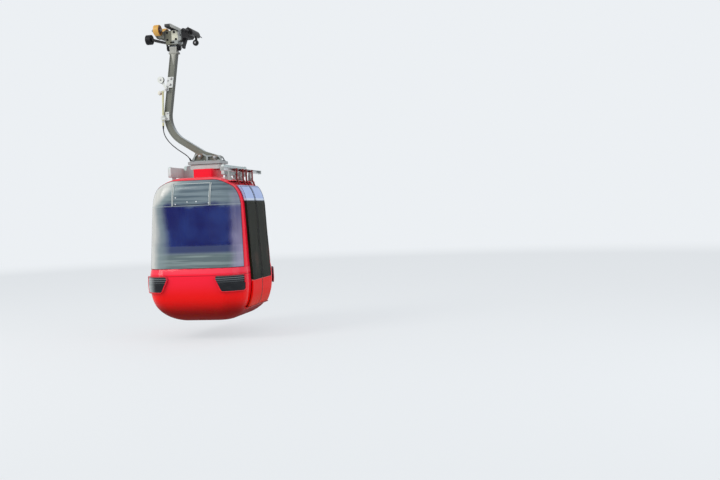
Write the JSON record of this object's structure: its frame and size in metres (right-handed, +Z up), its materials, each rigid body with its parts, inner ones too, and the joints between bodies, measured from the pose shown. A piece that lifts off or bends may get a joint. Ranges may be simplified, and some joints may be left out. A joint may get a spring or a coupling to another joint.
{
  "type": "aerial ropeway gondola cabin",
  "caption": "Small passenger gondola cabin with sliding doors, curved hanger arm and detachable rope grip",
  "frame": {"origin": "on the rope axis at the middle of the grip jaws", "axes": "+Y along the rope, +Z up, +X towards the cabin's doors"},
  "size_m": [1.595, 1.68, 4.188],
  "materials": {
    "cast_steel": "grey brown cast grip",
    "galvanised": "dull galvanised steel",
    "pin_steel": "bright worn steel",
    "black_steel": "black oiled steel",
    "yellow_wheel": "yellow polyurethane tread",
    "black_rubber": "matt black rubber",
    "brown_rubber": "brown weathered rubber",
    "white_plastic": "white plastic",
    "cream_plastic": "pale weathered plastic",
    "grey_plastic": "light grey plastic",
    "red_gelcoat": "gloss red",
    "tinted_glass": "smoky tinted acrylic",
    "aluminium": "satin aluminium",
    "seat_blue": "dark blue seat",
    "floor_grey": "ribbed grey floor"
  },
  "bodies": {
    "grip": {"grip_body": "cast_steel", "jaw_hinge_pin": "pin_steel", "hanger_pin": "black_steel", "spring_housing": "cast_steel", "friction_plate": "cream_plastic"},
    "cabin": {"hanger_head": "cast_steel", "hanger_arm": "galvanised", "hanger_bushes": "brown_rubber", "suspension_cradle": "galvanised", "cradle_pins": "pin_steel", "lever_bracket": "white_plastic", "door_lever": "white_plastic", "door_rod": "white_plastic", "rod_guide": "white_plastic", "door_cable": "black_rubber", "cable_gland": "black_steel", "roof_panel": "red_gelcoat", "belly_pan": "red_gelcoat", "floor_panel": "floor_grey", "right_side_wall": "red_gelcoat", "left_side_wall": "red_gelcoat", "left_side_window": "tinted_glass", "door_track": "aluminium", "track_brackets": "galvanised", "sill_rail": "aluminium", "roof_block": "red_gelcoat", "rubber_pads": "cream_plastic", "left_roof_board": "grey_plastic", "right_roof_board": "grey_plastic", "front_end_shell": "red_gelcoat", "front_window": "tinted_glass", "front_vent_flap": "tinted_glass", "front_vent_frame": "aluminium", "front_left_bumper": "black_rubber", "front_right_bumper": "black_rubber", "front_bench_seat": "seat_blue", "front_bench_back": "seat_blue", "front_bench_panel": "grey_plastic", "rear_end_shell": "red_gelcoat", "rear_window": "tinted_glass", "rear_vent_flap": "tinted_glass", "rear_vent_frame": "aluminium", "rear_left_bumper": "black_rubber", "rear_right_bumper": "black_rubber", "rear_bench_seat": "seat_blue", "rear_bench_back": "seat_blue", "rear_bench_panel": "grey_plastic"},
    "grip_lever": {"grip_lever": "black_steel", "rope_tongues": "black_steel"},
    "lever_roller": {"lever_roller": "black_rubber"},
    "guide_roller": {"guide_roller": "black_rubber"},
    "running_wheel_front": {"running_wheel_front": "yellow_wheel"},
    "running_wheel_rear": {"running_wheel_rear": "yellow_wheel"},
    "front_door": {"front_door_leaf": "red_gelcoat", "front_door_glass": "tinted_glass", "front_door_seal": "black_rubber"},
    "rear_door": {"rear_door_leaf": "red_gelcoat", "rear_door_glass": "tinted_glass", "rear_door_seal": "black_rubber"}
  },
  "joints": [
    {"name": "hanger_swing", "type": "hinge", "parent": "grip", "child": "cabin", "pos_m": [-0.28, 0, -0.18], "axis": [1, 0, 0], "range_deg": [-25, 25]},
    {"name": "jaw_open", "type": "hinge", "parent": "grip", "child": "grip_lever", "pos_m": [-0.17, 0, 0.02], "axis": [0, -1, 0], "range_deg": [0, 7], "stiffness_Nm_per_rad": 400, "springref_deg": -28.65},
    {"name": "lever_roller_spin", "type": "hinge", "parent": "grip_lever", "child": "lever_roller", "pos_m": [-0.6525, 0, -0.03], "axis": [1, 0, 0], "continuous": true},
    {"name": "guide_roller_spin", "type": "hinge", "parent": "grip_lever", "child": "guide_roller", "pos_m": [0.052, 0, -0.125], "axis": [0, 1, 0], "continuous": true},
    {"name": "front_wheel_spin", "type": "hinge", "parent": "grip", "child": "running_wheel_front", "pos_m": [-0.463, -0.13, 0.066], "axis": [1, 0, 0], "continuous": true},
    {"name": "rear_wheel_spin", "type": "hinge", "parent": "grip", "child": "running_wheel_rear", "pos_m": [-0.463, 0.13, 0.066], "axis": [1, 0, 0], "continuous": true},
    {"name": "front_door_slide", "type": "slide", "parent": "cabin", "child": "front_door", "axis": [0, -1, 0], "range_m": [0, 0.36]},
    {"name": "rear_door_slide", "type": "slide", "parent": "cabin", "child": "rear_door", "axis": [0, 1, 0], "range_m": [0, 0.36]}
  ]
}
